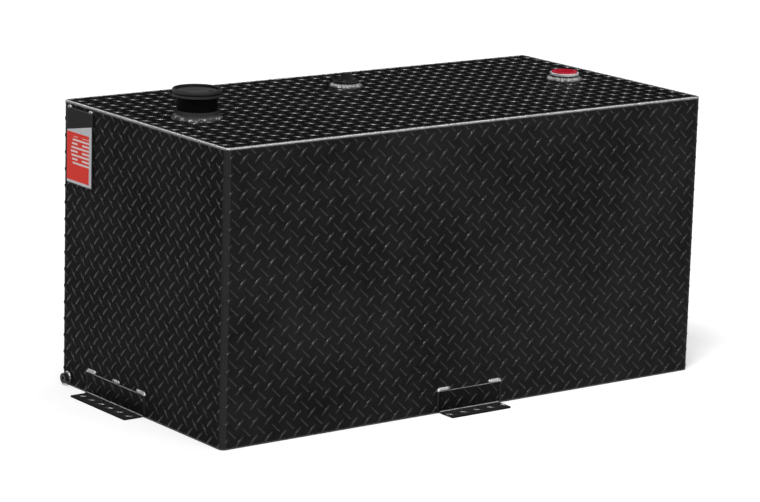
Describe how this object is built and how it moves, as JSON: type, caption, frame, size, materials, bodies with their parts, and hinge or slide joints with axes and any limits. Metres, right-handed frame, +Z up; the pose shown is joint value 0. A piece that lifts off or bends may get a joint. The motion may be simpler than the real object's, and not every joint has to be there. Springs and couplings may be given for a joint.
{
  "type": "truck bed transfer tank",
  "caption": "Rectangular tread plate fuel transfer tank with a screw filler cap, threaded ports, internal surge baffles and welded foot brackets.",
  "frame": {"origin": "centre of the tank's base, on the surface that it stands on", "axes": "+X along the length to the right, +Y to the back, +Z up"},
  "size_m": [1.326, 0.7036, 0.6714],
  "materials": {
    "black_powder_coat": "semi-gloss black powder coat on aluminium",
    "weld_bead": "glossy powder coat over weld bead",
    "mill_aluminium": "mill finish",
    "bung_aluminium": "turned, bare at the mouth and coated below",
    "lid_coat": "satin black",
    "black_nylon": "moulded nylon",
    "seal_rubber": "fuel resistant rubber",
    "red_shipping_plastic": "moulded shipping plug",
    "plug_iron": "black cast iron",
    "label_film": "printed film in red, silver and dark grey"
  },
  "bodies": {
    "tank": {"side_wrap": "black_powder_coat", "top_plate": "black_powder_coat", "bottom_plate": "black_powder_coat", "top_seam_weld": "weld_bead", "bottom_seam_weld": "weld_bead", "back_seam_weld": "weld_bead", "left_baffle": "mill_aluminium", "right_baffle": "mill_aluminium", "filler_neck": "black_powder_coat", "filler_neck_weld": "weld_bead", "pump_bung": "bung_aluminium", "pump_bung_weld": "weld_bead", "spare_bung": "black_powder_coat", "spare_bung_weld": "weld_bead", "drain_bung": "black_powder_coat", "drain_bung_weld": "weld_bead", "label_plate": "black_powder_coat", "label_sticker": "label_film", "label_tack_welds": "weld_bead", "front_bracket": "black_powder_coat", "front_bracket_welds": "weld_bead", "back_bracket": "black_powder_coat", "back_bracket_welds": "weld_bead", "left_bracket": "black_powder_coat", "left_bracket_welds": "weld_bead", "right_bracket": "black_powder_coat", "right_bracket_welds": "weld_bead"},
    "cap_seal": {"cap_gasket": "seal_rubber"},
    "cap": {"cap_lid": "lid_coat", "cap_skirt": "black_nylon", "breather_bush": "black_nylon"},
    "pump_plug": {"pump_port_plug": "red_shipping_plastic"},
    "spare_plug": {"spare_port_plug": "plug_iron"},
    "drain_stopper": {"drain_plug": "plug_iron"}
  },
  "joints": [
    {"name": "cap_lift", "type": "slide", "parent": "tank", "child": "cap_seal", "axis": [0, 0, 1], "range_m": [0, 0.08]},
    {"name": "cap_turn", "type": "hinge", "parent": "cap_seal", "child": "cap", "pos_m": [-0.485, 0, 0.6551], "axis": [0, 0, 1], "range_deg": [0, 720]},
    {"name": "pump_plug_out", "type": "slide", "parent": "tank", "child": "pump_plug", "axis": [0, 0, 1], "range_m": [0, 0.13]},
    {"name": "spare_plug_out", "type": "slide", "parent": "tank", "child": "spare_plug", "axis": [0, 0, 1], "range_m": [0, 0.06]},
    {"name": "drain_plug_out", "type": "slide", "parent": "tank", "child": "drain_stopper", "axis": [-1, 0, 0], "range_m": [0, 0.04]}
  ]
}
